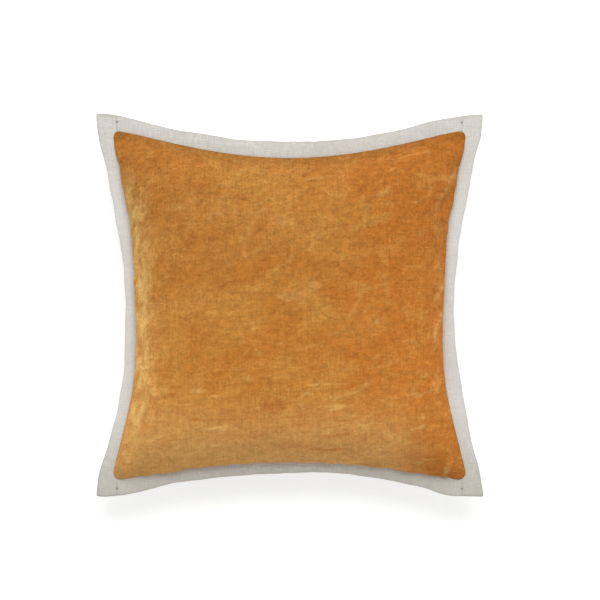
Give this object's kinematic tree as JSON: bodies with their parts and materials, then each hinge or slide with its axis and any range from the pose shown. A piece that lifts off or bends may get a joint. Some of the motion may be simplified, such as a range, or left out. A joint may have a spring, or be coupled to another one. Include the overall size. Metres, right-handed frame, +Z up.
{
  "type": "throw pillow",
  "caption": "Square filled cushion with a velvet front set in a flat linen flange, sides drawn in between pointed corners, linen back closed by a straight zip with a hinged pull.",
  "frame": {"origin": "on the floor, under the middle of the cover, which lies on its back", "axes": "+X to the right along the zip, +Y towards the cover's top edge, +Z up out of the velvet front"},
  "size_m": [0.5, 0.494, 0.1281],
  "materials": {
    "velvet": "matte",
    "linen": "matte",
    "thread": "matte",
    "zip_tape": "matte",
    "zip_coil": "satin",
    "zip_metal": "satin",
    "label": "satin",
    "cotton": "matte",
    "filling": "matte"
  },
  "bodies": {
    "pillow": {"velvet_front_panel": "velvet", "flange_strip_top": "linen", "flange_strip_bottom": "linen", "flange_strip_left": "linen", "flange_strip_right": "linen", "frame_stitching": "thread", "corner_tacks": "thread", "back_panel_upper": "linen", "back_panel_lower": "linen", "zip_tape_upper": "zip_tape", "zip_tape_lower": "zip_tape", "zip_coil_upper": "zip_coil", "zip_coil_lower": "zip_coil", "zip_top_stops": "zip_metal", "zip_bottom_stop": "zip_metal", "zip_stitching": "thread", "care_label": "label", "insert_shell_front": "cotton", "insert_shell_back": "cotton", "insert_filling": "filling", "insert_closing_stitches": "thread"},
    "slider": {"zip_slider": "zip_metal"},
    "pull": {"zip_pull": "zip_metal"}
  },
  "joints": [
    {"name": "zip_slide", "type": "slide", "parent": "pillow", "child": "slider", "axis": [-1, 0, 0], "range_m": [0, 0.284]},
    {"name": "pull_hinge", "type": "hinge", "parent": "slider", "child": "pull", "pos_m": [0.1425, -0.1, 0.002], "axis": [0, -1, 0], "range_deg": [0, 170]}
  ]
}
